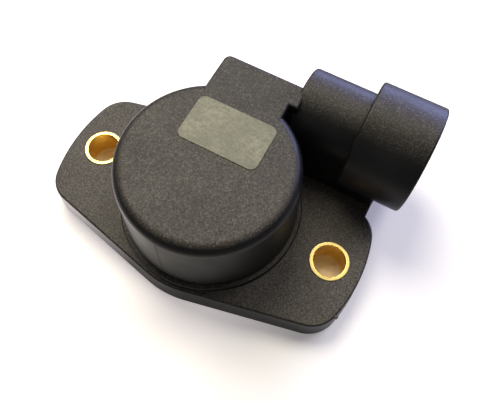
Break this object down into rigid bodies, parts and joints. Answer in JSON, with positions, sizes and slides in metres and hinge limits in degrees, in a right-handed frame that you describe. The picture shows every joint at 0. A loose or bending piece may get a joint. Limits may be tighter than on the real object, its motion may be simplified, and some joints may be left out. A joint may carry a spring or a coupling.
{
  "type": "throttle position sensor",
  "caption": "Throttle position sensor: eared flange with brass bushes, round drum, side socket with blades, sprung rotor driven from below.",
  "frame": {"origin": "on the drum's axis at the mounting face", "axes": "+X along the line of the mounting holes, the way the connector's mouth points; +Z from the mounting face towards the drum's top"},
  "size_m": [0.0587, 0.0464, 0.0236],
  "materials": {
    "black_moulding": "fine grained glass-filled moulding",
    "brass": "bright turned",
    "foil": "matt grey foil",
    "dark_plate": "matt",
    "rubber": "smooth",
    "steel": "rolled strip",
    "natural_plastic": "satin",
    "contact_metal": "sprung sheet",
    "board": "fired ceramic",
    "carbon": "printed",
    "silver_print": "printed",
    "tinned": "tinned strip"
  },
  "bodies": {
    "body": {"housing": "black_moulding", "mount_bushes": "brass", "label": "foil", "closure_plate": "dark_plate", "face_seal": "rubber", "rotor_seal": "rubber", "thrust_washer": "steel", "return_spring": "steel", "preload_washer": "steel", "element_board": "board", "resistive_track": "carbon", "collector_track": "carbon", "conductor_traces": "silver_print", "board_rivets": "tinned", "terminal_rear": "tinned", "terminal_middle": "tinned", "terminal_front": "tinned"},
    "rotor": {"rotor": "natural_plastic", "wiper_carrier": "dark_plate", "wiper": "contact_metal"}
  },
  "joints": [
    {"name": "rotor_turn", "type": "hinge", "parent": "body", "child": "rotor", "pos_m": [0, 0, 0], "axis": [0, 0, 1], "range_deg": [0, 95], "stiffness_Nm_per_rad": 0.004, "springref_deg": -28.65, "deforming": ["return_spring"]}
  ]
}
